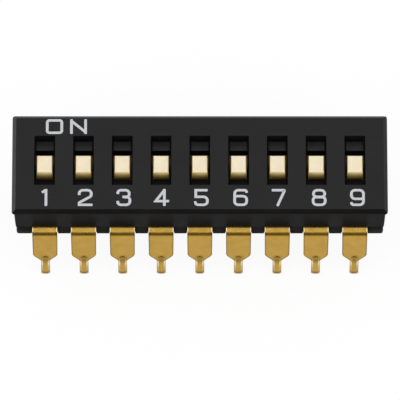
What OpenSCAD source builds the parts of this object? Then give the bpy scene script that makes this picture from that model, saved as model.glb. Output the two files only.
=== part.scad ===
// Slide DIP switch: a moulded cover and base, one slider with a spring bridge for each
// position, and two rows of stamped terminals.
// Frame: +X runs from the first position to the last, -Y is the OFF side with the digits,
// +Y is the ON side, +Z is up, and the tips of the terminals stand on Z = 0.

/* [Layout] */
// Number of switch positions
positions = 9; // [2:1:12]
// Distance between neighbouring positions
pitch = 2.54; // [2.3:0.02:3.2]
// Distance between the middles of the two rows of blades where their bends end
row_spacing = 7.62; // [7:0.02:9]

/* [Cover] */
// Thickness of the blocks at the two ends of the cover
end_wall = 0.9; // [0.8:0.02:2]
// Thickness of the front and back walls
side_wall = 0.42; // [0.3:0.01:0.7]
// Thickness of the ribs between two pockets
rib = 0.54; // [0.3:0.02:0.8]
// Thickness of the web that the sliders run under
web = 0.65; // [0.3:0.01:0.8]
// How far the top plate stands out over the walls
plate_overhang = 0.135; // [0.05:0.005:0.3]
// Slope of the outer walls, in degrees: they narrow towards the base
wall_draft = 2.5; // [0:0.5:4]
// Width of the sloped edge around the top plate
edge_width = 0.25; // [0.1:0.01:0.4]
// Height of the sloped edge around the top plate
edge_height = 0.2; // [0.1:0.01:0.4]
// Height of the upright rim below the sloped edge
rim = 0.13; // [0.05:0.01:0.3]
// Radius of the upright corners
corner_radius = 0.2; // [0.1:0.01:0.4]

/* [Slots] */
// Width of a slot in the top face
slot_width = 1.36; // [1.3:0.02:1.8]
// Depth of a slot down to its ledges
slot_depth = 0.855; // [0.5:0.005:1.2]
// Length of the ledge at the OFF end of a slot
front_ledge = 0.832; // [0.4:0.001:1]
// Length of the ledge at the ON end of a slot
back_ledge = 0.657; // [0.4:0.001:1]
// Width of the ledge along each side of a slot
side_ledge = 0.06; // [0.03:0.01:0.08]

/* [Sliders] */
// Travel of a slider from OFF to ON
travel = 0.7; // [0.5:0.05:1]
// Width of the knob at its top
knob_width = 1.01; // [0.8:0.01:1.05]
// Length of the knob at its top
knob_length = 1.215; // [0.9:0.005:1.5]
// Slope of the knob's four sides, in degrees
knob_draft = 2; // [0:0.5:2.5]
// Size of the small bevel along the knob's top edges
knob_bevel = 0.05; // [0.02:0.01:0.1]
// How far the knob sits behind the middle of its carrier
knob_shift = 0.325; // [0:0.005:0.5]
// Thickness of the carrier under the knob
carrier_thickness = 0.34; // [0.25:0.01:0.6]
// Diameter of the stake that holds the spring bridge
stake_diameter = 0.45; // [0.3:0.01:0.55]
// How far the stake comes through the spring bridge
stake_head = 0.06; // [0.02:0.01:0.1]

/* [Spring bridges] */
// Thickness of the spring strip
spring_thickness = 0.1; // [0.06:0.01:0.14]
// Width of the spring strip
spring_width = 1.3; // [1:0.05:1.6]
// Half the length of the flat middle of the bridge
spring_flat = 0.4; // [0.35:0.01:0.7]
// Height from the feet to the flat middle's upper face
spring_height = 0.595; // [0.4:0.005:0.8]
// Outer radius of a rounded foot
foot_radius = 0.22; // [0.18:0.01:0.3]
// Outer radius of the bend between the flat middle and an arm
knee_radius = 0.2; // [0.15:0.01:0.3]
// Slope of the arms, in degrees
arm_slope = 40; // [30:1:50]
// How far a foot curls up past its lowest point, in degrees
foot_curl = 55; // [20:1:80]
// Width of the split between the two fingers of an arm
finger_split = 0.25; // [0.1:0.01:0.4]

/* [Base] */
// Thickness of the base
base_thickness = 1.12; // [0.6:0.02:1.4]
// How far the walls of the cover stand out over the ends and sides of the base
base_inset = 0.03; // [0.02:0.01:0.1]
// Bevel along the base's lower edges
base_bevel = 0.08; // [0.05:0.01:0.2]
// Depth of the upright channels in the base's sides behind the bends
channel_depth = 0.15; // [0.05:0.01:0.3]
// Gap between a terminal and the sides of its channel
channel_gap = 0.04; // [0.03:0.01:0.2]
// Diameter of the locating pegs at the ends of the base
peg_diameter = 0.5; // [0.3:0.02:0.6]
// Height of the locating pegs
peg_height = 0.8; // [0.4:0.05:1]
// Distance between the two pegs at one end
peg_spacing = 3.6; // [2:0.1:5]

/* [Terminals] */
// Thickness of the terminal strip
strip = 0.25; // [0.15:0.01:0.35]
// Width of a terminal at its bend
blade_width = 1.64; // [1.2:0.02:2]
// Width of a terminal where its shoulders begin
blade_end_width = 1.61; // [1.2:0.01:2]
// Length of the wide part below the bend
blade_length = 1.945; // [1:0.005:3]
// Inner radius of the bend
bend_radius = 0.1; // [0.03:0.01:0.2]
// Distance from the side of the base to the middle of a blade's top
lead_reach = 0.47; // [0.4:0.01:0.7]
// Slope of a lead between the wall and its bend, in degrees
lead_slope = 18; // [0:1:25]
// Outward lean of the blades, in degrees
splay = 8; // [0:1:12]
// Radius of the rounded shoulders
shoulder_radius = 0.5; // [0.2:0.01:0.6]
// Radius of the hollow between the shoulders and the tip
neck_radius = 0.12; // [0.08:0.01:0.4]
// Direction that the shoulders face, in degrees from sideways
shoulder_angle = 42; // [35:1:70]
// Width of the narrow tip
tip_width = 0.58; // [0.4:0.01:0.7]
// Length of the narrow tip
tip_length = 1.55; // [0.8:0.05:2.5]
// Width of the coined bevels along the tip
coin_width = 0.09; // [0.05:0.01:0.15]
// Depth of the coined bevels along the tip
coin_depth = 0.1; // [0.08:0.01:0.14]
// Width of the raised rib down the middle of the tip, at its foot
tip_rib_width = 0.44; // [0.3:0.01:0.5]
// Height of that rib
tip_rib_height = 0.055; // [0.02:0.005:0.08]
// How far each side of that rib slopes in
tip_rib_slope = 0.05; // [0.02:0.01:0.1]
// How far that rib's round end reaches above the neck
tip_rib_rise = 0.3; // [0.1:0.01:0.4]
// How far a contact strip runs past the spring foot that rests on it
contact_land = 0.375; // [0.2:0.005:0.45]

/* [Clearances] */
// Gap between a knob and the ends of its window
knob_gap = 0.05; // [0.03:0.01:0.1]
// Gap between a carrier and the sides of its pocket
side_gap = 0.05; // [0.03:0.01:0.1]
// Gap between a carrier and the end of its pocket at either limit
stop_gap = 0.05; // [0.03:0.01:0.1]
// Gap between a carrier and the web above it
lift_gap = 0.03; // [0.02:0.01:0.06]
// Gap between a spring foot and the contact strip under it
foot_gap = 0.03; // [0.02:0.01:0.06]
// Gap between a terminal and the sides of its groove
groove_gap = 0.03; // [0.02:0.01:0.1]
// Gap around a peg or a stake in its hole
pin_gap = 0.025; // [0.01:0.005:0.05]

/* [Hidden] */
$fn = 48;
// How far a cutter runs past the face that it opens
cut = 1;
// Number of straight pieces in each rounded stretch of a spring bridge
arc_steps = 8;
// Largest share of the step from blade to tip that the shoulder and the neck may round
shoulder_share = 0.95;
neck_share = 0.7;

// Middle of each position, from the first to the last
row_length = (positions - 1) * pitch;
function position_x(k) = (k - 1) * pitch - row_length / 2;

// Lengths along X
pocket_width = pitch - rib;
wall_length = row_length + pocket_width + 2 * end_wall;
base_length = wall_length - 2 * base_inset;
carrier_width = pocket_width - 2 * side_gap;
window_width = slot_width - 2 * side_ledge;
peg_x = (wall_length - end_wall) / 2;

// Depths along Y
base_depth = row_spacing - 2 * lead_reach;
wall_depth = base_depth + 2 * base_inset;
pocket_length = wall_depth - 2 * side_wall;
carrier_length = pocket_length - travel - 2 * stop_gap;
carrier_y = -travel / 2;
knob_y = carrier_y + knob_shift;

// Heights along Z
bend_outer = bend_radius + strip;
shoulder_step = (blade_end_width - tip_width) / 2;
shoulder_round = min(shoulder_radius, shoulder_share * shoulder_step);
neck_round = min(neck_radius, neck_share * shoulder_step);
shoulder_y = blade_length + shoulder_round * sin(shoulder_angle);
shoulder_x = blade_end_width / 2 - shoulder_round * (1 - cos(shoulder_angle));
neck_x = tip_width / 2 + neck_round * (1 - cos(shoulder_angle));
neck_y = shoulder_y + (shoulder_x - neck_x) / tan(shoulder_angle);
tip_y = neck_y + neck_round * sin(shoulder_angle);
corner_y = shoulder_y + (shoulder_x - tip_width / 2) / tan(shoulder_angle);
leg_length = tip_y + tip_length;
bend_z = leg_length * cos(splay) - bend_radius * sin(splay);
bend_y = row_spacing / 2 - (bend_radius + strip / 2) * cos(splay);
lead_y = wall_depth / 2;
lead_length = (bend_y - lead_y) / cos(lead_slope);
lead_z = bend_z + lead_length * sin(lead_slope);
seam_z = lead_z + bend_outer;
base_z = seam_z - base_thickness;
spring_z = seam_z + foot_gap + spring_height;
carrier_z = spring_z + carrier_thickness;
ceiling_z = carrier_z + lift_gap;
ledge_z = ceiling_z + web;
top_z = ledge_z + slot_depth;
plate_z = top_z - rim - edge_height;

// The walls spread towards the plate, which stands out over them
wall_spread = 2 * (plate_z - seam_z) * tan(wall_draft);
plate_length = wall_length + wall_spread + 2 * plate_overhang;
plate_depth = wall_depth + wall_spread + 2 * plate_overhang;

// Knob size at its foot, where it meets the carrier
knob_height = top_z - carrier_z;
knob_spread = 2 * knob_height * tan(knob_draft);
knob_foot_width = knob_width + knob_spread;
knob_foot_length = knob_length + knob_spread;

// Window that the knob moves in, and the slot around it
window_front = knob_y - knob_foot_length / 2 - knob_gap;
window_back = knob_y + travel + knob_foot_length / 2 + knob_gap;
slot_front = window_front - front_ledge;
slot_back = window_back + back_ledge;

// Spring bridge: run of one arm, place of its foot, and the contact strips' inner ends
arm_drop = spring_height - foot_radius - knee_radius * (1 - cos(arm_slope));
arm_length = (arm_drop + (foot_radius - spring_thickness) * cos(arm_slope)) / sin(arm_slope);
knee_end = spring_flat + knee_radius * sin(arm_slope);
foot_y = knee_end + arm_length * cos(arm_slope) + (foot_radius - spring_thickness) * sin(arm_slope);
front_strip_end = travel / 2 - foot_y + contact_land;
back_strip_end = travel / 2 + foot_y - contact_land;

black = [0.17, 0.17, 0.17];
cream = [0.94, 0.9, 0.78];
gold = [0.8, 0.62, 0.28];

// Extrudes an outline drawn in (Y, Z) evenly to both sides of X = 0
module along_x(length) {
    rotate([90, 0, 90]) linear_extrude(length, center = true) children();
}

// Extrudes an outline drawn in (X, Z) evenly to both sides of Y = 0
module along_y(length) {
    rotate([90, 0, 0]) linear_extrude(length, center = true) children();
}

// Rectangle with true round corners, centred on the origin
module rounded_rectangle(length, depth, radius) {
    square([length - 2 * radius, depth], center = true);
    square([length, depth - 2 * radius], center = true);
    for (x = [-1, 1], y = [-1, 1])
        translate([x * (length / 2 - radius), y * (depth / 2 - radius)]) circle(radius);
}

// Piece of a ring between two angles that are less than 120 degrees apart
module ring_sector(inner, outer, from, to) {
    reach = 2 * outer;
    middle = (from + to) / 2;
    intersection() {
        difference() {
            circle(outer);
            circle(inner);
        }
        polygon([
            [0, 0],
            reach * [cos(from), sin(from)],
            2 * reach * [cos(middle), sin(middle)],
            reach * [cos(to), sin(to)]
        ]);
    }
}

// Section of the top plate: an upright rim with a sloped edge above it
module plate_section(span) {
    polygon([
        [-span / 2, 0],
        [span / 2, 0],
        [span / 2, rim],
        [span / 2 - edge_width, rim + edge_height],
        [edge_width - span / 2, rim + edge_height],
        [-span / 2, rim]
    ]);
}

// Section of the base: upright sides with a bevel along the lower edges
module base_section(span) {
    polygon([
        [base_bevel - span / 2, 0],
        [span / 2 - base_bevel, 0],
        [span / 2, base_bevel],
        [span / 2, base_thickness],
        [-span / 2, base_thickness],
        [-span / 2, base_bevel]
    ]);
}

module cover_plate() {
    translate([0, 0, plate_z]) intersection() {
        linear_extrude(rim + edge_height) rounded_rectangle(plate_length, plate_depth, corner_radius);
        along_x(plate_length) plate_section(plate_depth);
        along_y(plate_depth) plate_section(plate_length);
    }
}

// Section of the walls: they lean outwards from the base up to the plate
module wall_section(span) {
    polygon([
        [-span / 2, 0],
        [span / 2, 0],
        [(span + wall_spread) / 2, plate_z - seam_z],
        [-(span + wall_spread) / 2, plate_z - seam_z]
    ]);
}

module cover_walls() {
    length = wall_length + wall_spread;
    depth = wall_depth + wall_spread;
    translate([0, 0, seam_z]) intersection() {
        linear_extrude(plate_z - seam_z) rounded_rectangle(length, depth, corner_radius);
        along_x(length) wall_section(wall_depth);
        along_y(depth) wall_section(wall_length);
    }
}

// Slot in the top face, with the window through the web and the pocket below it
module slot_and_pocket() {
    translate([-slot_width / 2, slot_front, ledge_z])
        cube([slot_width, slot_back - slot_front, slot_depth + cut]);
    translate([-window_width / 2, window_front, ceiling_z - cut])
        cube([window_width, window_back - window_front, web + 2 * cut]);
    translate([-pocket_width / 2, -pocket_length / 2, seam_z - cut])
        cube([pocket_width, pocket_length, ceiling_z - seam_z + cut]);
}

module at_pegs() {
    for (x = [-1, 1], y = [-1, 1])
        translate([x * peg_x, y * peg_spacing / 2, seam_z]) children();
}

module cover() {
    color(black) difference() {
        union() {
            cover_plate();
            cover_walls();
        }
        for (k = [1:positions]) translate([position_x(k), 0, 0]) slot_and_pocket();
        at_pegs() translate([0, 0, -cut])
            cylinder(d = peg_diameter + 2 * pin_gap, h = peg_height + pin_gap + cut);
    }
}

// Groove that a terminal lies in, from the side of the base to the strip's inner end
module groove(inner_end) {
    half_width = blade_width / 2 + groove_gap;
    translate([-half_width, -base_depth / 2 - cut, seam_z - strip])
        cube([2 * half_width, base_depth / 2 + cut + inner_end + groove_gap, strip + cut]);
}

// Upright channel in the side of the base behind a terminal's bend
module channel() {
    half_width = blade_width / 2 + channel_gap;
    translate([-half_width, -base_depth / 2 - cut, base_z - cut])
        cube([2 * half_width, cut + channel_depth, base_thickness + 2 * cut]);
}

module base() {
    color(black) {
        difference() {
            translate([0, 0, base_z]) intersection() {
                linear_extrude(base_thickness)
                    rounded_rectangle(base_length, base_depth, corner_radius);
                along_x(base_length) base_section(base_depth);
                along_y(base_depth) base_section(base_length);
            }
            for (k = [1:positions]) translate([position_x(k), 0, 0]) {
                groove(front_strip_end);
                channel();
                mirror([0, 1, 0]) {
                    groove(-back_strip_end);
                    channel();
                }
            }
        }
        at_pegs() translate([0, 0, -base_thickness / 2])
            cylinder(d = peg_diameter, h = peg_height + base_thickness / 2);
    }
}

// Section of the knob across one direction: sloped sides and a small bevel at the top
module knob_section(top, foot) {
    bevel_foot = top / 2 + knob_bevel * tan(knob_draft);
    polygon([
        [-foot / 2, 0],
        [foot / 2, 0],
        [bevel_foot, knob_height - knob_bevel],
        [top / 2 - knob_bevel, knob_height],
        [knob_bevel - top / 2, knob_height],
        [-bevel_foot, knob_height - knob_bevel]
    ]);
}

module slider() {
    color(cream) {
        translate([-carrier_width / 2, carrier_y - carrier_length / 2, spring_z])
            cube([carrier_width, carrier_length, carrier_thickness]);
        translate([0, knob_y, carrier_z]) intersection() {
            along_x(knob_foot_width) knob_section(knob_length, knob_foot_length);
            along_y(knob_foot_length) knob_section(knob_width, knob_foot_width);
        }
        translate([0, carrier_y, spring_z - spring_thickness - stake_head])
            cylinder(d = stake_diameter, h = spring_thickness + stake_head + carrier_thickness / 2);
    }
}

// Points along an arc, from one angle to another
function arc(centre, radius, from, to) = [
    for (i = [0:arc_steps])
        let (angle = from + (to - from) * i / arc_steps)
            centre + radius * [cos(angle), sin(angle)]
];

// Side profile of half a spring bridge: out along the upper face, and back along the lower one
function bridge_half(knee, foot) = concat(
    arc(knee, knee_radius, 90, 90 - arm_slope),
    arc(foot, foot_radius - spring_thickness, 270 - arm_slope, 270 + foot_curl),
    arc(foot, foot_radius, 270 + foot_curl, 270 - arm_slope),
    arc(knee, knee_radius - spring_thickness, 90 - arm_slope, 90)
);

module bridge_profile() {
    right = bridge_half([spring_flat, -knee_radius], [foot_y, foot_radius - spring_height]);
    left = [for (i = [len(right) - 1:-1:0]) [-right[i][0], right[i][1]]];
    polygon(concat(right, left));
}

module bridge_contact() {
    color(gold) translate([0, carrier_y, spring_z]) difference() {
        along_x(spring_width) bridge_profile();
        cylinder(d = stake_diameter + 2 * pin_gap, h = 2 * cut, center = true);
        for (side = [0, 1]) mirror([0, side, 0])
            translate([-finger_split / 2, knee_end, -spring_height - cut])
                cube([finger_split, foot_y + foot_radius, spring_height + 2 * cut]);
    }
}

// Outline of a terminal's leg, hanging down from its bend
module leg_outline() {
    polygon([
        [-blade_width / 2, 0],
        [blade_width / 2, 0],
        [blade_end_width / 2, -blade_length],
        [shoulder_x, -shoulder_y],
        [tip_width / 2, -corner_y],
        [tip_width / 2, -leg_length],
        [-tip_width / 2, -leg_length],
        [-tip_width / 2, -corner_y],
        [-shoulder_x, -shoulder_y],
        [-blade_end_width / 2, -blade_length]
    ]);
    for (side = [0, 1]) mirror([side, 0]) {
        translate([blade_end_width / 2 - shoulder_round, -blade_length]) circle(shoulder_round);
        difference() {
            polygon([
                [tip_width / 2, -corner_y],
                [neck_x, -neck_y],
                [tip_width / 2 + neck_round, -tip_y],
                [tip_width / 2, -tip_y]
            ]);
            translate([tip_width / 2 + neck_round, -tip_y]) circle(neck_round);
        }
    }
}

// Triangle that cuts a bevel off a corner at the origin, the solid lying to -X and -Y
module bevel_cutter(width, depth) {
    polygon([[-2 * width, depth], [width, -2 * depth], [width, depth]]);
}

// Raised rib down the tip, sloped along its sides and round its upper end
module tip_rib() {
    foot = tip_rib_width / 2;
    length = tip_rib_rise + tip_length;
    translate([0, tip_rib_rise - tip_y, strip]) difference() {
        translate([-foot, -length, 0]) cube([tip_rib_width, length + foot, tip_rib_height]);
        for (angle = [0:45:180]) rotate([0, 0, angle]) along_y(2 * length + cut) polygon([
            [foot + tip_rib_slope, -tip_rib_height],
            [foot - 2 * tip_rib_slope, 2 * tip_rib_height],
            [foot + cut, 2 * tip_rib_height],
            [foot + cut, -tip_rib_height]
        ]);
    }
}

// Coined bevels: along both edges of the tip, and across its end
module coining() {
    for (side = [0, 1]) mirror([side, 0, 0])
        translate([tip_width / 2, -tip_y, strip]) rotate([90, 0, 0])
            linear_extrude(tip_length + cut) bevel_cutter(coin_width, coin_depth);
    translate([0, -leg_length, strip]) along_x(2 * tip_width) mirror([1, 0])
        bevel_cutter(coin_width, coin_depth);
}

// Terminal of the front row: contact strip in the base, sloped lead, bend, and splayed leg
module terminal(inner_end) {
    color(gold) {
        translate([-blade_width / 2, -lead_y, seam_z - strip])
            cube([blade_width, lead_y + inner_end, strip]);
        translate([0, -lead_y, lead_z]) {
            along_x(blade_width) ring_sector(bend_radius, bend_outer, 90, 90 + lead_slope);
            rotate([lead_slope, 0, 0]) translate([-blade_width / 2, -lead_length, bend_radius])
                cube([blade_width, lead_length, strip]);
        }
        translate([0, -bend_y, bend_z]) {
            along_x(blade_width) ring_sector(bend_radius, bend_outer, 90 + lead_slope, 180 - splay);
            rotate([-splay, 0, 0]) translate([0, -bend_radius, 0]) rotate([90, 0, 0]) difference() {
                union() {
                    linear_extrude(strip) leg_outline();
                    tip_rib();
                }
                coining();
            }
        }
    }
}

cover();
base();
for (k = [1:positions]) translate([position_x(k), 0, 0]) {
    slider();
    bridge_contact();
    terminal(front_strip_end);
    mirror([0, 1, 0]) terminal(-back_strip_end);
}
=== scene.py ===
import functools
import math

import bmesh
import bpy
from mathutils import Matrix, Vector


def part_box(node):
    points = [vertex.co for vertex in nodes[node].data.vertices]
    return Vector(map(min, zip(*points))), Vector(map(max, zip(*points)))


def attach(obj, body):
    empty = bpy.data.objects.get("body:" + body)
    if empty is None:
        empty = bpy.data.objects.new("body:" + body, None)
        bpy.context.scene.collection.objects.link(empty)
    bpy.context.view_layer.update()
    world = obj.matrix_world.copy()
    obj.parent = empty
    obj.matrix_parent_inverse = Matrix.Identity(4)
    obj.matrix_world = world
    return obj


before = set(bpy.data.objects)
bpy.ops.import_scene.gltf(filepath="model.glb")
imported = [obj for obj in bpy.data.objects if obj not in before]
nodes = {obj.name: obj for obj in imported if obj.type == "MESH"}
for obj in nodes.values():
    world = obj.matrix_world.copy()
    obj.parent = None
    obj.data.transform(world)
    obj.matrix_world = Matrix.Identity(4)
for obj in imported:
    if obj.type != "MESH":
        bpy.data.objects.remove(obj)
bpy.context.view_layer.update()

MM = 0.001
scene = bpy.context.scene
scene.view_settings.view_transform = "Standard"

cover_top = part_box("cover")[1].z
switch_numbers = sorted(int(name.rsplit("_", 1)[1]) for name in nodes if name.startswith("slider_"))
slot_centres = {}
for number in switch_numbers:
    lowest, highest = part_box(f"slider_{number}")
    slot_centres[number] = (lowest.x + highest.x) / 2 / MM
pitch = slot_centres[2] - slot_centres[1]


# Camera: a long lens in front of the switch, looking down on it.
IMAGE_PIXELS = 400
CAMERA_ELEVATION = math.radians(62.917)
CAMERA_DISTANCE = 600 * MM
FOCAL_PIXELS = 9136.4
SENSOR_WIDTH = 36
LOOK_AT_HEIGHT = 5 * MM
LOOK_AT_PIXEL = (199.8, 178.6)


def add_camera():
    """Put the camera where the switch fills the picture as it does in the photograph."""
    toward = Vector((0, -math.cos(CAMERA_ELEVATION), math.sin(CAMERA_ELEVATION)))
    upward = Vector((0, math.sin(CAMERA_ELEVATION), math.cos(CAMERA_ELEVATION)))
    pixel = CAMERA_DISTANCE / FOCAL_PIXELS
    aim = Vector((0, 0, LOOK_AT_HEIGHT))
    aim.x += (IMAGE_PIXELS / 2 - LOOK_AT_PIXEL[0]) * pixel
    aim += (LOOK_AT_PIXEL[1] - IMAGE_PIXELS / 2) * pixel * upward
    data = bpy.data.cameras.new("camera")
    data.sensor_width = SENSOR_WIDTH
    data.lens = FOCAL_PIXELS * SENSOR_WIDTH / IMAGE_PIXELS
    camera = bpy.data.objects.new("camera", data)
    camera.location = aim + CAMERA_DISTANCE * toward
    camera.rotation_euler = toward.to_track_quat("Z", "Y").to_euler()
    scene.collection.objects.link(camera)
    scene.camera = camera


# Shader nodes: procedural finishes, with places and feature sizes in millimetres.
RISING = (0, 1)
FALLING = (1, 0)
NOISE_SPAN = (0.3, 0.7)
NOISE_DETAIL = 3
GRAIN_DETAIL = 2
GRAIN_STRENGTH = 0.3


def add_node(tree, kind, values=None, settings=None):
    """A node of this kind with its settings and its sockets filled in."""
    node = tree.nodes.new(kind)
    for setting, value in (settings or {}).items():
        setattr(node, setting, value)
    for socket, value in (values or {}).items():
        node.inputs[socket].default_value = value
    return node


class Finish:
    """A procedural material and the nodes that drive its shader."""

    def __init__(self, name, colour, values=None):
        """Start with a plain colour and constant values on the shader's own sockets."""
        self.material = bpy.data.materials.new(name)
        self.material.use_nodes = True
        self.tree = self.material.node_tree
        self.link = self.tree.links.new
        self.shader = self.tree.nodes["Principled BSDF"]
        self.colour = (*colour, 1)
        for socket, value in (values or {}).items():
            self.shader.inputs[socket].default_value = value

    def node(self, kind, values=None, settings=None):
        """A new node of this material."""
        return add_node(self.tree, kind, values, settings)

    def drive(self, socket, value):
        """Let a value drive one of the shader's sockets."""
        self.link(value, self.shader.inputs[socket])

    def place(self):
        """Outputs X, Y and Z: where each point lies in the part's frame."""
        coordinates = self.node("ShaderNodeTexCoord")
        scale = self.node("ShaderNodeVectorMath", {"Scale": 1 / MM}, {"operation": "SCALE"})
        split = self.node("ShaderNodeSeparateXYZ")
        self.link(coordinates.outputs["Object"], scale.inputs[0])
        self.link(scale.outputs["Vector"], split.inputs["Vector"])
        return split.outputs

    def off_centre(self, across):
        """The distance of each point from the middle of its switch position."""
        fold = self.node("ShaderNodeMath", {1: pitch / 2}, {"operation": "PINGPONG"})
        self.link(across, fold.inputs[0])
        return fold.outputs["Value"]

    def facing(self):
        """Outputs X, Y and Z: the direction in which each face looks."""
        geometry = self.node("ShaderNodeNewGeometry")
        split = self.node("ShaderNodeSeparateXYZ")
        self.link(geometry.outputs["True Normal"], split.inputs["Vector"])
        return split.outputs

    def flatness(self, reach, samples):
        """A value that is 1 on flat ground and falls off within this reach of a sharp edge."""
        rounded = self.node("ShaderNodeBevel", {"Radius": reach * MM}, {"samples": samples})
        geometry = self.node("ShaderNodeNewGeometry")
        agreement = self.node("ShaderNodeVectorMath", settings={"operation": "DOT_PRODUCT"})
        self.link(rounded.outputs["Normal"], agreement.inputs[0])
        self.link(geometry.outputs["True Normal"], agreement.inputs[1])
        return agreement.outputs["Value"]

    def absolute(self, value):
        """A value without its sign."""
        size = self.node("ShaderNodeMath", settings={"operation": "ABSOLUTE"})
        self.link(value, size.inputs[0])
        return size.outputs["Value"]

    def multiply(self, first, second):
        """The product of two values."""
        product = self.node("ShaderNodeMath", settings={"operation": "MULTIPLY"})
        self.link(first, product.inputs[0])
        self.link(second, product.inputs[1])
        return product.outputs["Value"]

    def remap(self, value, span, results=RISING):
        """Map a value that runs over a span to the results at the two ends of that span."""
        ends = {"From Min": span[0], "From Max": span[1], "To Min": results[0], "To Max": results[1]}
        remap = self.node("ShaderNodeMapRange", ends)
        self.link(value, remap.inputs["Value"])
        return remap.outputs["Result"]

    def zone(self, measures, limits):
        """The strength of a zone at each point: the product of its limits on named measures."""
        strengths = [self.remap(measures[measure], span, results) for measure, span, results in limits]
        return functools.reduce(self.multiply, strengths)

    def noise(self, feature, detail=NOISE_DETAIL, stretch=(1, 1, 1)):
        """A noise value that follows the object, with features of this size."""
        coordinates = self.node("ShaderNodeTexCoord")
        scale = [1 / (feature * MM * factor) for factor in stretch]
        mapping = self.node("ShaderNodeMapping", {"Scale": scale})
        noise = self.node("ShaderNodeTexNoise", {"Scale": 1, "Detail": detail})
        self.link(coordinates.outputs["Object"], mapping.inputs["Vector"])
        self.link(mapping.outputs["Vector"], noise.inputs["Vector"])
        return noise.outputs["Fac"]

    def patches(self, feature, results=RISING):
        """A random value between two results, in soft patches of this size."""
        return self.remap(self.noise(feature), NOISE_SPAN, results)

    def tint(self, share, colour):
        """Lay a colour over the present one, by a share from 0 to 1."""
        mix = self.node("ShaderNodeMix", {"B": (*colour, 1)}, {"data_type": "RGBA"})
        if isinstance(self.colour, tuple):
            mix.inputs["A"].default_value = self.colour
        else:
            self.link(self.colour, mix.inputs["A"])
        self.link(share, mix.inputs["Factor"])
        self.colour = mix.outputs["Result"]
        self.drive("Base Color", self.colour)

    def tint_zones(self, measures, zones):
        """Lay the colour of each zone over those before it."""
        for colour, limits in zones.values():
            self.tint(self.zone(measures, limits), colour)

    def roughen(self, feature, results):
        """Vary the roughness between two results, in soft patches of this size."""
        self.drive("Roughness", self.patches(feature, results))

    def grain(self, feature, depth, stretch=(1, 1, 1)):
        """Give the surface a grain of this size and depth."""
        bump = self.node("ShaderNodeBump", {"Strength": GRAIN_STRENGTH, "Distance": depth * MM})
        self.link(self.noise(feature, GRAIN_DETAIL, stretch), bump.inputs["Height"])
        self.drive("Normal", bump.outputs["Normal"])


# Black plastic: its tones, and where it shines, as limits of a measure, its span and two strengths. The
# shine is cut on upright faces as matte moulded walls and as painted shade, cut on front faces and in
# the front of the slots as painted shade, and raised at the back of the slots as painted sheen.
COVER_BLACK = (0.009, 0.009, 0.0092)
BASE_BLACK = (0.007, 0.007, 0.007)
CLOUD_SHADE = 0.75
SLOT_PAINTED_SHEEN_PEAK = 1.6
# Shine is kept on level faces that don't face the front: upright faces lose it as matte walls and as
# painted shade, front faces as painted shade
FACE_PAINTED_SHADE = (
    ("level", (0.3, 0.6), RISING),
    ("backward", (-0.6, -0.2), RISING),
)
SLOT_DEPTH = (
    ("height", (6.4, 6.6), FALLING),
)
# Painted shade and painted sheen: inside a slot the shine falls towards the front and rises towards the
# back, near the slot's middle only
SLOT_PAINTED_SHADE_AND_SHEEN = (
    ("along", (-0.7, 1.4), (0.25, SLOT_PAINTED_SHEEN_PEAK)),
    ("off_centre", (0.5, 0.6), FALLING),
)


def black_plastic(name, colour, gloss, painted_shade_gloss):
    """Black moulding: dull on upright faces as matte walls and as painted shade, dull on front faces and
    in the front of its slots as painted shade, and shinier towards the back of its slots as painted
    sheen.
    """
    finish = Finish(name, [CLOUD_SHADE * channel for channel in colour])
    facing = finish.facing()
    place = finish.place()
    measures = {
        "level": finish.absolute(facing["Z"]),
        "backward": facing["Y"],
        "along": place["Y"],
        "height": place["Z"],
        "off_centre": finish.off_centre(place["X"]),
    }
    # Painted shade and sheen: the shine is cut on upright and front faces and in the front of the slots,
    # and raised towards the back of the slots
    slot_painted_shade = finish.node("ShaderNodeMix", {"A": 1})
    finish.link(finish.zone(measures, SLOT_DEPTH), slot_painted_shade.inputs["Factor"])
    finish.link(finish.zone(measures, SLOT_PAINTED_SHADE_AND_SHEEN), slot_painted_shade.inputs["B"])
    shine = finish.multiply(finish.zone(measures, FACE_PAINTED_SHADE), slot_painted_shade.outputs["Result"])
    shine = finish.remap(shine, (0, SLOT_PAINTED_SHEEN_PEAK), (painted_shade_gloss, SLOT_PAINTED_SHEEN_PEAK * gloss))
    finish.drive("Specular IOR Level", shine)
    finish.tint(finish.patches(feature=2.5), colour)
    finish.roughen(feature=0.4, results=(0.3, 0.4))
    finish.grain(feature=0.07, depth=0.002)
    return finish.material


# Cream plastic: its two tones, and the tints laid over them with their limits; the tints are painted
# shade and painted bounce light.
CREAM = (0.765, 0.675, 0.495)
PALE_CREAM = (0.8, 0.71, 0.525)
CREAM_PAINTED_LIGHT_ZONES = {
    # Painted shade: the knob's sides turn dark brown
    "sides": ((0.32, 0.22, 0.08), (
        ("sideways", (0.3, 0.8), RISING),
    )),
    # Painted bounce light: front faces turn a warm, deep tan
    "front": ((0.9, 0.73, 0.38), (
        ("backward", (-0.9, -0.6), FALLING),
    )),
    # Painted shade: the knob turns browner lower down
    "lower_knob_painted_shade": ((0.57, 0.39, 0.11), (
        ("height", (6.69, 7.08), FALLING),
    )),
    # Painted shade: the slider turns nearly black-brown deep in the slot
    "foot": ((0.2, 0.125, 0.035), (
        ("height", (6.3, 6.7), FALLING),
    )),
}
CREAM_WAX = {
    "Subsurface Weight": 0.4,
    "Subsurface Radius": (1.0, 0.62, 0.25),
    "Subsurface Scale": 0.07 * MM,
    "Specular IOR Level": 0.2,
}


def cream_plastic():
    """Cream moulding: waxy, with painted shade that browns its sides and turns it browner where it runs
    down into the slot, and painted bounce light that warms its front faces.
    """
    finish = Finish("cream_plastic", CREAM, CREAM_WAX)
    finish.tint(finish.patches(feature=0.5), PALE_CREAM)
    facing = finish.facing()
    measures = {
        "sideways": finish.absolute(facing["X"]),
        "backward": facing["Y"],
        "height": finish.place()["Z"],
    }
    finish.tint_zones(measures, CREAM_PAINTED_LIGHT_ZONES)
    finish.roughen(feature=0.2, results=(0.4, 0.52))
    finish.grain(feature=0.05, depth=0.001)
    return finish.material
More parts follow.
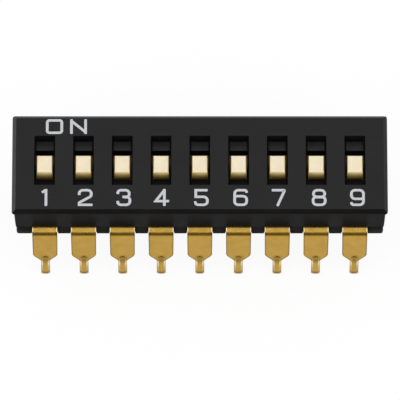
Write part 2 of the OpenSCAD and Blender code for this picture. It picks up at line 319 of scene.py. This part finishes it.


# Gold plating: its two tones, and the tints laid over them with their limits; the tints are painted
# highlights and painted shade.
GOLD = (0.47, 0.285, 0.05)
PALE_GOLD = (0.53, 0.33, 0.065)
GOLD_PAINTED_LIGHT_ZONES = {
    # Painted highlight: pale gold on the tip's side slopes, fading downwards from the neck
    "painted_slope_highlights": ((0.86, 0.7, 0.33), (
        ("sideways", (0.3, 0.6), RISING),
        ("height", (0.8, 1.35), (0.15, 1)),
    )),
    # Painted shade: dark brown over the bend, where the face turns from level to upright
    "bend": ((0.33, 0.18, 0.02), (
        ("upward", (0.3, 0.45), RISING),
        ("upward", (0.85, 0.92), FALLING),
    )),
    # Painted highlight: a pale line at the start of the bend
    "bend_start_painted_highlight": ((0.64, 0.46, 0.14), (
        ("upward", (0.905, 0.92), RISING),
        ("upward", (0.935, 0.945), FALLING),
    )),
    # Painted shade: a dark patch on the middle of the pin at its neck
    "neck": ((0.24, 0.14, 0.02), (
        ("height", (1.3, 1.65), RISING),
        ("height", (1.8, 2.3), (0.8, 0)),
        ("off_centre", (0.1, 0.42), FALLING),
    )),
    # Painted shade: a dark line just above the tip's end
    "tip_painted_shade_line": ((0.16, 0.09, 0.015), (
        ("height", (0.36, 0.48), (0.75, 0)),
    )),
    # Painted shade: dark brown along sharp edges, weaker near the middle of the pin
    "edge_painted_shade": ((0.12, 0.065, 0.01), (
        ("flatness", (0.8, 0.99), (0.85, 0)),
        ("off_centre", (0.3, 0.5), (0.45, 1)),
    )),
    # Painted highlight: a pale band at the very end of the tip
    "tip_end_painted_highlight": ((0.55, 0.4, 0.15), (
        ("height", (0.2, 0.26), (0.9, 0)),
    )),
    # Painted shade: dark lines along the tip's outer edges
    "tip_side_painted_shade": ((0.2, 0.12, 0.03), (
        ("height", (1.42, 1.5), FALLING),
        ("off_centre", (0.25, 0.285), (0, 0.8)),
    )),
    # Painted highlight: pale lines along the sides of the level lead
    "lead_side_painted_highlights": ((0.85, 0.72, 0.4), (
        ("upward", (0.92, 0.94), RISING),
        ("off_centre", (0.73, 0.77), RISING),
    )),
}


def gold_plate():
    """Gold plating over stamped strip, with painted shade at the bends, neck, tip ends and edges, and
    painted highlights on the tip slopes, bend starts, lead sides and tip ends.
    """
    finish = Finish("gold_plate", GOLD, {"Metallic": 1})
    finish.tint(finish.patches(feature=0.6), PALE_GOLD)
    facing = finish.facing()
    place = finish.place()
    measures = {
        "sideways": finish.absolute(facing["X"]),
        "upward": facing["Z"],
        "height": place["Z"],
        "off_centre": finish.off_centre(place["X"]),
        "flatness": finish.flatness(reach=0.25, samples=16),
    }
    finish.tint_zones(measures, GOLD_PAINTED_LIGHT_ZONES)
    finish.roughen(feature=0.25, results=(0.26, 0.36))
    finish.grain(feature=0.04, depth=0.001, stretch=(1, 1, 12))
    return finish.material


# White ink: its two tones.
INK = (0.465, 0.475, 0.5)
PALE_INK = (0.54, 0.55, 0.575)


def white_ink():
    """Pad-printed white ink with a slightly uneven coat."""
    finish = Finish("white_ink", INK, {"Specular IOR Level": 0.3})
    finish.tint(finish.patches(feature=0.12), PALE_INK)
    finish.roughen(feature=0.2, results=(0.5, 0.65))
    return finish.material


# Small edge rounds on the moulded solids, so that edges catch the light.
EDGE_WIDTHS = {"cover": 0.02 * MM, "base": 0.015 * MM, "slider": 0.02 * MM}
EDGE_SEGMENTS = 2
EDGE_ANGLE = math.radians(28)
WELD_DISTANCE = 0.004 * MM
NORMAL_WEIGHT = 100


def soften_edges(node, width):
    """Join the faces of a moulded solid and round its sharp edges by this width."""
    weld = node.modifiers.new("weld", "WELD")
    weld.merge_threshold = WELD_DISTANCE
    bevel = node.modifiers.new("bevel", "BEVEL")
    bevel.width = width
    bevel.segments = EDGE_SEGMENTS
    bevel.use_clamp_overlap = False
    bevel.limit_method = "ANGLE"
    bevel.angle_limit = EDGE_ANGLE
    normals = node.modifiers.new("normals", "WEIGHTED_NORMAL")
    normals.weight = NORMAL_WEIGHT


def dress_nodes():
    """Give each solid its material, and each moulded one its edge round."""
    gold = gold_plate()
    finishes = {
        "cover": black_plastic("cover_black", COVER_BLACK, gloss=0.25, painted_shade_gloss=0.015),
        "base": black_plastic("base_black", BASE_BLACK, gloss=0.25, painted_shade_gloss=0.02),
        "slider": cream_plastic(),
        "bridge_contact": gold,
        "front_terminal": gold,
        "back_terminal": gold,
    }
    for name, node in nodes.items():
        kind = name.rstrip("0123456789").rstrip("_")
        for slot in node.material_slots:
            slot.material = finishes[kind]
        if kind in EDGE_WIDTHS:
            soften_edges(node, EDGE_WIDTHS[kind])


# Ink strokes: thin ribbons on the top face, in millimetres.
INK_SINK = 0.003
INK_RISE = 0.006
STROKE = 0.178
STROKE_LIFT = 0.0005
ARC_STEPS = 8
MITRE_LIMIT = 0.45
END_RADIUS = 0.045
END_STEPS = 4
OPEN = False
RING = True


def fillet(points, closed):
    """Turn points of x, y and corner radius into a path with its corners rounded."""
    path = []
    for index, (x, y, radius) in enumerate(points):
        corner = Vector((x, y))
        is_end = not closed and index in (0, len(points) - 1)
        if is_end or radius == 0:
            path.append(corner)
            continue
        before = (Vector(points[index - 1][:2]) - corner).normalized()
        after = (Vector(points[(index + 1) % len(points)][:2]) - corner).normalized()
        half_angle = before.angle(after) / 2
        centre = corner + (before + after).normalized() * radius / math.sin(half_angle)
        reach = radius / math.tan(half_angle)
        first = corner + before * reach - centre
        last = corner + after * reach - centre
        turn = math.atan2(first.x * last.y - first.y * last.x, first.dot(last))
        for step in range(ARC_STEPS + 1):
            arm = Matrix.Rotation(turn * step / ARC_STEPS, 2) @ first
            path.append(centre + arm)
    return path


def rounded_end(end, inner):
    """Points from the end of a stroke inwards, each with the half width that rounds its corners."""
    inwards = (inner - end).normalized()
    stations = []
    for step in range(END_STEPS + 1):
        angle = math.pi / 2 * step / END_STEPS
        half_width = STROKE / 2 - END_RADIUS * (1 - math.sin(angle))
        stations.append((end + inwards * END_RADIUS * (1 - math.cos(angle)), half_width))
    return stations


def ribbon_edges(path, closed):
    """Left and right edge points along a path, mitred at its corners and rounded at its ends."""
    stations = [(point, STROKE / 2) for point in path]
    if not closed:
        last_end = rounded_end(path[-1], path[-2])
        stations = rounded_end(path[0], path[1]) + stations[1:-1] + last_end[::-1]
    path = [point for point, half_width in stations]
    edges = []
    for index, (point, half_width) in enumerate(stations):
        directions = []
        if closed or index > 0:
            directions.append((point - path[index - 1]).normalized())
        if closed or index < len(path) - 1:
            directions.append((path[(index + 1) % len(path)] - point).normalized())
        tangent = sum(directions, Vector((0, 0))).normalized()
        reach = half_width / max(MITRE_LIMIT, tangent.dot(directions[0]))
        side = Vector((-tangent.y, tangent.x)) * reach
        edges.append((point + side, point - side))
    return edges


def stroke_solid(points, closed, lift):
    """A thin solid ribbon along a stroke's centre line, raised by a lift."""
    shape = bmesh.new()
    top = INK_SINK + INK_RISE + lift
    rings = []
    for left, right in ribbon_edges(fillet(points, closed), closed):
        section = ((left, lift), (right, lift), (right, top), (left, top))
        rings.append([shape.verts.new((point.x, point.y, height)) for point, height in section])
    following = rings[1:] + rings[:1] if closed else rings[1:]
    for ring, after in zip(rings, following):
        for side in range(len(ring)):
            turn = (side + 1) % len(ring)
            shape.faces.new((ring[side], after[side], after[turn], ring[turn]))
    if not closed:
        shape.faces.new(rings[0])
        shape.faces.new(rings[-1])
    bmesh.ops.recalc_face_normals(shape, faces=shape.faces)
    mesh = bpy.data.meshes.new("stroke")
    shape.to_mesh(mesh)
    shape.free()
    stroke = bpy.data.objects.new("stroke", mesh)
    scene.collection.objects.link(stroke)
    return stroke


def unite(strokes):
    """One mesh from strokes that cross or meet."""
    first = strokes[0]
    for other in strokes[1:]:
        union = first.modifiers.new("union", "BOOLEAN")
        union.operation = "UNION"
        union.solver = "EXACT"
        union.object = other
    graph = bpy.context.evaluated_depsgraph_get()
    mesh = bpy.data.meshes.new_from_object(first.evaluated_get(graph))
    for stroke in strokes:
        bpy.data.objects.remove(stroke)
    return mesh


def print_character(name, lines, x, y, ink):
    """Lay a character's centre lines on the cover as ink, with its lower left corner at x, y."""
    strokes = []
    for points, closed in lines:
        lift = STROKE_LIFT if strokes else 0
        strokes.append(stroke_solid(points, closed, lift))
    mesh = unite(strokes)
    place = Matrix.Translation((x * MM, y * MM, cover_top - INK_SINK * MM))
    mesh.transform(place @ Matrix.Scale(MM, 4))
    mesh.materials.clear()
    mesh.materials.append(ink)
    character = bpy.data.objects.new(name, mesh)
    scene.collection.objects.link(character)
    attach(character, "housing")


# Centre lines of the characters: points of x, y and corner radius, from the lower left corner.
DIGIT_HEIGHT = 1.25
DIGIT_WIDTH = 0.965
LEFT = STROKE / 2
RIGHT = DIGIT_WIDTH - LEFT
LOW = STROKE / 2
HIGH = DIGIT_HEIGHT - LOW
WAIST = 0.54 * DIGIT_HEIGHT
LOW_WAIST = 0.52 * DIGIT_HEIGHT
SHOULDER = 0.58 * DIGIT_HEIGHT
INSET = 0.03
SHARP = 0
TIGHT = 0.14
ROUND = 0.2
WIDE = 0.25
LETTER_HEIGHT = 1.09
LETTER_O_WIDTH = 1.13
LETTER_O_CORNER = 0.15
LETTER_N_WIDTH = 1.1


def post(x, height):
    """An upright stroke from the foot of a character to its top."""
    return [(x, 0, SHARP), (x, height, SHARP)]


def digit_one():
    """A stem with a flag."""
    stem = 0.5 * DIGIT_WIDTH
    flag_tip = stem - 0.27
    flag_low = HIGH - 0.17
    flag_high = HIGH + 0.02
    flag = [(flag_tip, flag_low, SHARP), (stem, flag_high, SHARP)]
    return [(flag, OPEN), (post(stem, DIGIT_HEIGHT), OPEN)]


def digit_two():
    """An arch, a slope down to the left and a foot."""
    arch_end = 0.64 * DIGIT_HEIGHT
    slope_end = 0.2 * DIGIT_HEIGHT
    slope_corner = 0.08
    line = [
        (LEFT, arch_end, SHARP),
        (LEFT, HIGH, WIDE),
        (RIGHT, HIGH, WIDE),
        (RIGHT, SHOULDER, ROUND),
        (LEFT, slope_end, slope_corner),
        (LEFT, LOW, SHARP),
        (DIGIT_WIDTH, LOW, SHARP),
    ]
    return [(line, OPEN)]


def digit_three():
    """Two bowls, the upper one a little narrower."""
    upper_end = 0.7 * DIGIT_HEIGHT
    upper_right = RIGHT - 0.04
    upper_tongue = 0.4 * DIGIT_WIDTH
    lower_tongue = 0.42 * DIGIT_WIDTH
    lower_end = 0.3 * DIGIT_HEIGHT
    upper_bowl = [
        (LEFT, upper_end, SHARP),
        (LEFT, HIGH, ROUND),
        (upper_right, HIGH, WIDE),
        (upper_right, WAIST, ROUND),
        (upper_tongue, WAIST, SHARP),
    ]
    lower_bowl = [
        (lower_tongue, LOW_WAIST, SHARP),
        (RIGHT, LOW_WAIST, ROUND),
        (RIGHT, LOW, WIDE),
        (LEFT, LOW, ROUND),
        (LEFT, lower_end, SHARP),
    ]
    return [(upper_bowl, OPEN), (lower_bowl, OPEN)]


def digit_four():
    """A slope and a bar, crossed by a stem."""
    stem = 0.68 * DIGIT_WIDTH
    bar = 0.29 * DIGIT_HEIGHT
    slope = [(stem, HIGH, SHARP), (LEFT, bar, SHARP), (DIGIT_WIDTH, bar, SHARP)]
    return [(slope, OPEN), (post(stem, DIGIT_HEIGHT), OPEN)]


def digit_five():
    """A top bar, a short back and a bowl."""
    bar_end = 0.93 * DIGIT_WIDTH
    back = LEFT + INSET
    bowl_end = 0.28 * DIGIT_HEIGHT
    line = [
        (bar_end, HIGH, SHARP),
        (back, HIGH, SHARP),
        (back, WAIST, SHARP),
        (RIGHT, WAIST, WIDE),
        (RIGHT, LOW, WIDE),
        (LEFT, LOW, ROUND),
        (LEFT, bowl_end, SHARP),
    ]
    return [(line, OPEN)]


def digit_six():
    """A loop with a hook over it."""
    hook_left = LEFT + 0.004
    hook_low = 0.35 * DIGIT_HEIGHT
    hook_right = 0.9 * DIGIT_WIDTH
    hook_end = 0.77 * DIGIT_HEIGHT
    loop = [
        (LEFT, LOW, WIDE),
        (RIGHT, LOW, WIDE),
        (RIGHT, SHOULDER, WIDE),
        (LEFT, SHOULDER, TIGHT),
    ]
    hook = [
        (hook_right, hook_end, SHARP),
        (hook_right, HIGH, TIGHT),
        (hook_left, HIGH, WIDE),
        (hook_left, hook_low, SHARP),
    ]
    return [(loop, RING), (hook, OPEN)]


def digit_seven():
    """A top bar and a slope."""
    slope_foot = 0.38 * DIGIT_WIDTH
    bar_corner = 0.03
    line = [(0, HIGH, SHARP), (RIGHT - INSET, HIGH, bar_corner), (slope_foot, 0, SHARP)]
    return [(line, OPEN)]


def digit_eight():
    """Two rings, the upper one a little narrower."""
    upper_left = LEFT + INSET
    upper_right = RIGHT - INSET
    upper_ring = [
        (upper_left, WAIST, ROUND),
        (upper_right, WAIST, ROUND),
        (upper_right, HIGH, WIDE),
        (upper_left, HIGH, WIDE),
    ]
    lower_ring = [
        (LEFT, LOW, WIDE),
        (RIGHT, LOW, WIDE),
        (RIGHT, LOW_WAIST, ROUND),
        (LEFT, LOW_WAIST, ROUND),
    ]
    return [(upper_ring, RING), (lower_ring, RING)]


def digit_nine():
    """A six turned half round in its box."""
    lines = []
    for points, closed in digit_six():
        turned = [(DIGIT_WIDTH - x, DIGIT_HEIGHT - y, radius) for x, y, radius in points]
        lines.append((turned, closed))
    return lines


def letter_o():
    """A rectangular ring with rounded corners."""
    right = LETTER_O_WIDTH - LEFT
    high = LETTER_HEIGHT - LOW
    corners = ((LEFT, LOW), (right, LOW), (right, high), (LEFT, high))
    return [([(x, y, LETTER_O_CORNER) for x, y in corners], RING)]


def letter_n():
    """A diagonal between two posts."""
    right = LETTER_N_WIDTH - LEFT
    diagonal_end = 0.75 * STROKE
    diagonal = [(LEFT, LETTER_HEIGHT - diagonal_end, SHARP), (right, diagonal_end, SHARP)]
    posts = [(post(x, LETTER_HEIGHT), OPEN) for x in (LEFT, right)]
    return [(diagonal, OPEN), *posts]


# Places of the characters on the cover, in millimetres.
DIGITS = {
    1: digit_one,
    2: digit_two,
    3: digit_three,
    4: digit_four,
    5: digit_five,
    6: digit_six,
    7: digit_seven,
    8: digit_eight,
    9: digit_nine,
}
DIGIT_BASE_Y = -3.129
DIGIT_SHIFT = 0.125
DIGIT_PITCH_GAIN = 1.0015
DIGIT_BEARINGS = {2: 0.02, 4: -0.07, 5: -0.025, 7: -0.03, 8: 0.04}
LETTER_BASE_Y = 2.176
LETTER_O_CENTRE = -9.53
LETTER_N_CENTRE = -7.955


def print_characters():
    """The digits in front of the slots and the word behind the first two."""
    ink = white_ink()
    for number in switch_numbers:
        centre = slot_centres[number] * DIGIT_PITCH_GAIN + DIGIT_SHIFT + DIGIT_BEARINGS.get(number, 0)
        print_character(f"digit_{number}", DIGITS[number](), centre - DIGIT_WIDTH / 2, DIGIT_BASE_Y, ink)
    o_left = LETTER_O_CENTRE - LETTER_O_WIDTH / 2
    n_left = LETTER_N_CENTRE - LETTER_N_WIDTH / 2
    print_character("letter_o", letter_o(), o_left, LETTER_BASE_Y, ink)
    print_character("letter_n", letter_n(), n_left, LETTER_BASE_Y, ink)


# Stage: a white floor, a soft sky and five large lamps.
FLOOR_SIZE = 4.0
FLOOR_GAP = 0.02 * MM
FLOOR_PAINT = (0.9, 0.9, 0.9, 1)
FLOOR_GLOW = 0.92
WHITE = (1, 1, 1, 1)
SKY_STRENGTH = 0.85
# Grey of the sky by its direction from the front, -1, to the back, 1
SKY_GREYS = ((-0.6, 0.23), (-0.25, 0.5), (0.45, 1.0))
# Each lamp: place in metres, width, height and brightness, where 1 is a white surface in full light
LAMPS = {
    "top_lamp": ((0, -0.13, 0.8), 1.0, 0.17, 1.35),
    "left_lamp": ((-0.6, 0.1, 0.16), 0.9, 0.28, 1.9),
    "right_lamp": ((0.6, 0.1, 0.16), 0.9, 0.28, 0.3),
    "front_left_lamp": ((-0.5, -0.42, 0.46), 0.5, 0.5, 3.2),
    "front_right_lamp": ((0.5, -0.42, 0.46), 0.5, 0.5, 3.2),
}


def floor_material():
    """White paint that also glows to the camera and in reflections, so that its shadow is faint."""
    material = bpy.data.materials.new("floor")
    material.use_nodes = True
    tree = material.node_tree
    tree.nodes.clear()
    link = tree.links.new
    path = add_node(tree, "ShaderNodeLightPath")
    seen = path.outputs["Is Camera Ray"]
    for ray in ("Is Glossy Ray", "Is Transmission Ray"):
        either = add_node(tree, "ShaderNodeMath", settings={"operation": "MAXIMUM"})
        link(seen, either.inputs[0])
        link(path.outputs[ray], either.inputs[1])
        seen = either.outputs["Value"]
    share = add_node(tree, "ShaderNodeMath", {1: FLOOR_GLOW}, {"operation": "MULTIPLY"})
    paint = add_node(tree, "ShaderNodeBsdfDiffuse", {"Color": FLOOR_PAINT})
    glow = add_node(tree, "ShaderNodeEmission", {"Color": WHITE, "Strength": 1})
    mix = add_node(tree, "ShaderNodeMixShader")
    output = add_node(tree, "ShaderNodeOutputMaterial")
    link(seen, share.inputs[0])
    link(share.outputs["Value"], mix.inputs["Fac"])
    link(paint.outputs["BSDF"], mix.inputs[1])
    link(glow.outputs["Emission"], mix.inputs[2])
    link(mix.outputs["Shader"], output.inputs["Surface"])
    return material


def add_floor():
    """A wide white floor just under the switch."""
    half = FLOOR_SIZE / 2
    corners = [(-half, -half, 0), (half, -half, 0), (half, half, 0), (-half, half, 0)]
    mesh = bpy.data.meshes.new("floor")
    mesh.from_pydata(corners, [], [(0, 1, 2, 3)])
    mesh.materials.append(floor_material())
    floor = bpy.data.objects.new("floor", mesh)
    floor.location.z = -FLOOR_GAP
    scene.collection.objects.link(floor)


def add_sky():
    """A soft sky, brighter behind the switch than on the camera's side."""
    world = bpy.data.worlds.new("sky")
    world.use_nodes = True
    scene.world = world
    tree = world.node_tree
    link = tree.links.new
    coordinates = add_node(tree, "ShaderNodeTexCoord")
    split = add_node(tree, "ShaderNodeSeparateXYZ")
    share = add_node(tree, "ShaderNodeMapRange", {"From Min": -1})
    ramp = add_node(tree, "ShaderNodeValToRGB")
    ramp.color_ramp.interpolation = "EASE"
    stops = ramp.color_ramp.elements
    while len(stops) < len(SKY_GREYS):
        stops.new(1)
    for stop, (direction, grey) in zip(stops, SKY_GREYS):
        stop.position = (direction + 1) / 2
        stop.color = (grey, grey, grey, 1)
    background = tree.nodes["Background"]
    background.inputs["Strength"].default_value = SKY_STRENGTH
    link(coordinates.outputs["Generated"], split.inputs["Vector"])
    link(split.outputs["Y"], share.inputs["Value"])
    link(share.outputs["Result"], ramp.inputs["Fac"])
    link(ramp.outputs["Color"], background.inputs["Color"])


def add_lamps():
    """Large soft lamps above the switch and around it, each facing it."""
    for name, (place, width, height, brightness) in LAMPS.items():
        data = bpy.data.lights.new(name, "AREA")
        data.shape = "RECTANGLE"
        data.size = width
        data.size_y = height
        data.energy = brightness * math.pi * width * height
        lamp = bpy.data.objects.new(name, data)
        lamp.location = place
        lamp.rotation_euler = Vector(place).to_track_quat("Z", "Y").to_euler()
        scene.collection.objects.link(lamp)


add_camera()
dress_nodes()
print_characters()
add_floor()
add_sky()
add_lamps()
